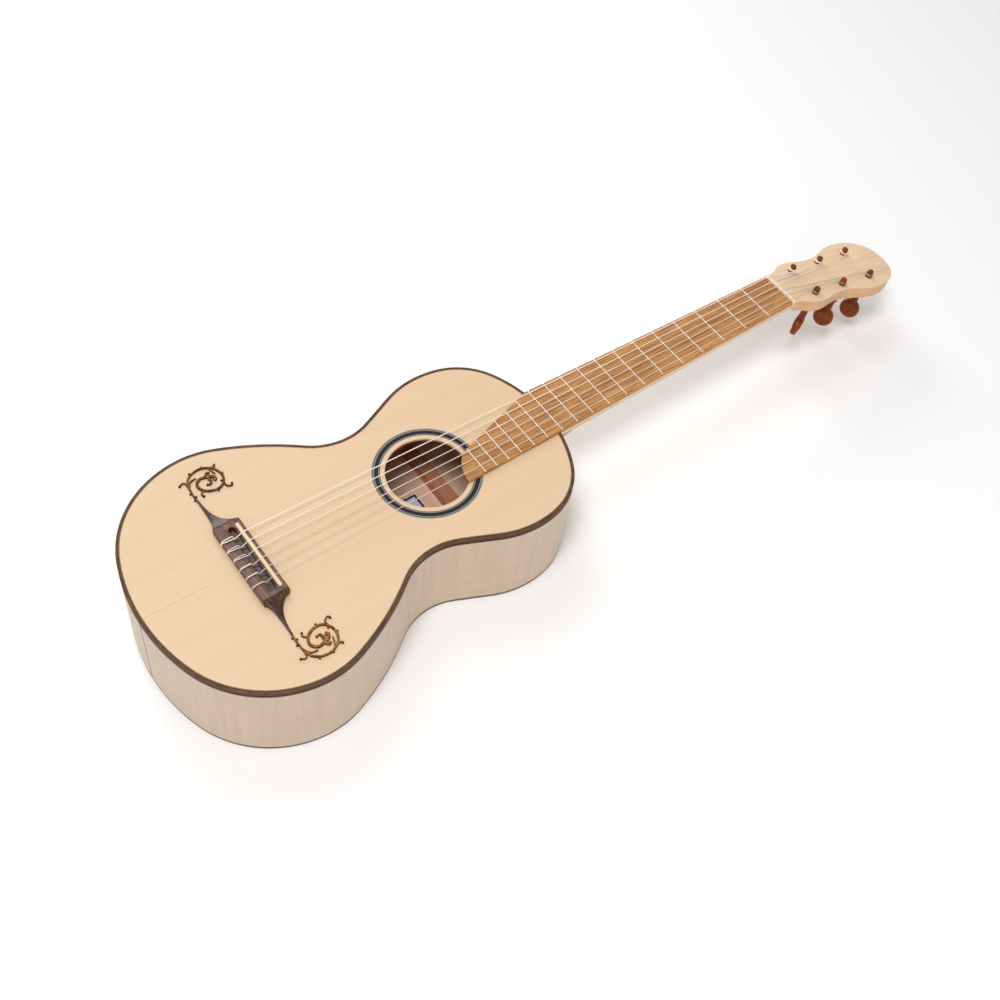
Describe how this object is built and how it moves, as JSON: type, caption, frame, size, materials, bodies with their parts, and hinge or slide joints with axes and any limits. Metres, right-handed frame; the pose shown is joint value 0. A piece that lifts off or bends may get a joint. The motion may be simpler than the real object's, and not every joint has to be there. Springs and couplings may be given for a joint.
{
  "type": "guitar",
  "caption": "Small-bodied parlour guitar with nylon strings, wooden friction pegs, a slanted fingerboard end and a moustache bridge with scroll ornaments.",
  "frame": {"origin": "on the flat back, on the centre line, right under the saddle", "axes": "+X to the treble side, +Y from the tail to the head, +Z out of the top"},
  "size_m": [0.2754, 0.9516, 0.1181],
  "materials": {
    "spruce_top": "satin, fine straight grain",
    "flamed_maple": "satin, pale with faint flame",
    "neck_maple": "satin",
    "inner_wood": "raw, sawn",
    "fingerboard_wood": "oiled, dark lengthwise stripes",
    "fret_metal": "polished crowns",
    "bone": "polished bone",
    "rosewood": "oiled",
    "scroll_wood": "laser-cut, burnt edges",
    "peg_wood": "turned, polished",
    "nylon": "translucent",
    "binding_wood": "brown, with thin dark lines",
    "dark_line": "dyed veneer",
    "pale_line": "grey-green veneer",
    "rosette_lines": "grey and pale veneer lines",
    "rosette_dark": "dyed veneer",
    "label_paper": "blank, dark border"
  },
  "bodies": {
    "guitar": {"top_plate": "spruce_top", "back_plate": "flamed_maple", "side_treble": "flamed_maple", "side_bass": "flamed_maple", "tail_graft": "dark_line", "back_binding": "binding_wood", "top_binding": "binding_wood", "side_line": "pale_line", "purfling_dark": "dark_line", "purfling_light": "pale_line", "back_lining": "inner_wood", "top_lining": "inner_wood", "neck_block": "inner_wood", "tail_block": "inner_wood", "bridge_patch": "inner_wood", "label": "label_paper", "rosette_inner_lines": "rosette_lines", "rosette_ring": "rosette_dark", "rosette_outer_lines": "rosette_lines", "neck": "neck_maple", "heel_cap": "binding_wood", "headstock": "neck_maple", "fingerboard": "fingerboard_wood", "frets": "fret_metal", "nut": "bone", "saddle": "bone", "bridge": "rosewood", "scroll_treble": "scroll_wood", "scroll_bass": "scroll_wood", "top_brace_1": "inner_wood", "top_brace_2": "inner_wood", "top_brace_3": "inner_wood", "top_brace_4": "inner_wood", "back_brace_1": "inner_wood", "back_brace_2": "inner_wood", "back_brace_3": "inner_wood", "string_1": "nylon", "string_2": "nylon", "string_3": "nylon", "string_4": "nylon", "string_5": "nylon", "string_6": "nylon"},
    "tuner_1": {"peg_1": "peg_wood", "winding_1": "nylon"},
    "tuner_2": {"peg_2": "peg_wood", "winding_2": "nylon"},
    "tuner_3": {"peg_3": "peg_wood", "winding_3": "nylon"},
    "tuner_4": {"peg_4": "peg_wood", "winding_4": "nylon"},
    "tuner_5": {"peg_5": "peg_wood", "winding_5": "nylon"},
    "tuner_6": {"peg_6": "peg_wood", "winding_6": "nylon"}
  },
  "joints": [
    {"name": "peg_1_turn", "type": "hinge", "parent": "guitar", "child": "tuner_1", "pos_m": [0.0196, 0.69063, 0.1021], "axis": [0, 0.2164, 0.9763], "continuous": true},
    {"name": "peg_2_turn", "type": "hinge", "parent": "guitar", "child": "tuner_2", "pos_m": [0.0198, 0.73701, 0.09182], "axis": [0, 0.2164, 0.9763], "continuous": true},
    {"name": "peg_3_turn", "type": "hinge", "parent": "guitar", "child": "tuner_3", "pos_m": [0.021, 0.78387, 0.08143], "axis": [0, 0.2164, 0.9763], "continuous": true},
    {"name": "peg_4_turn", "type": "hinge", "parent": "guitar", "child": "tuner_4", "pos_m": [-0.021, 0.78387, 0.08143], "axis": [0, 0.2164, 0.9763], "continuous": true},
    {"name": "peg_5_turn", "type": "hinge", "parent": "guitar", "child": "tuner_5", "pos_m": [-0.0198, 0.73701, 0.09182], "axis": [0, 0.2164, 0.9763], "continuous": true},
    {"name": "peg_6_turn", "type": "hinge", "parent": "guitar", "child": "tuner_6", "pos_m": [-0.0196, 0.69063, 0.1021], "axis": [0, 0.2164, 0.9763], "continuous": true}
  ]
}
